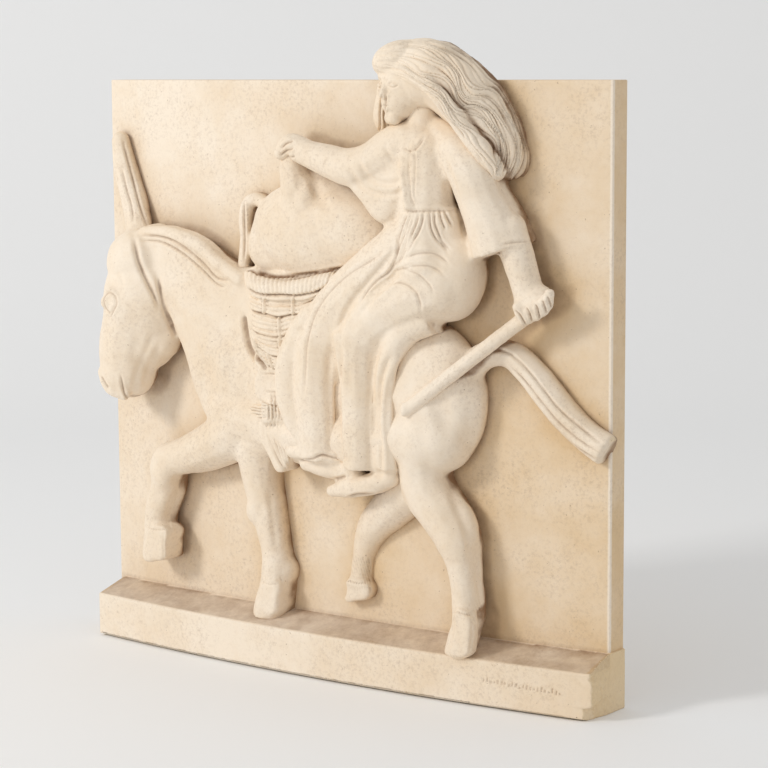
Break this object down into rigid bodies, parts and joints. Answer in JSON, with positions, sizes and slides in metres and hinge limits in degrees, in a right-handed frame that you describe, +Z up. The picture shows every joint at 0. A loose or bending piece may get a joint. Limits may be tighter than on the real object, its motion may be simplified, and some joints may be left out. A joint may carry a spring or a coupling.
{
  "type": "plaster relief panel",
  "caption": "Cast plaster high-relief panel on its own base: a woman rides a donkey with a sack in a basket; it stands on the flat underside.",
  "frame": {"origin": "on the flat underside, below the middle of the slab's front face at its side edges", "axes": "+Z up, +X to the viewer's right along the panel, +Y from the carved front to the flat back"},
  "size_m": [0.5144, 0.0861, 0.5128],
  "materials": {
    "plaster": "matt cream cast plaster, lightly sealed, with brown dirt in the hollows"
  },
  "bodies": {
    "root": {"relief_panel": "plaster"}
  },
  "joints": []
}
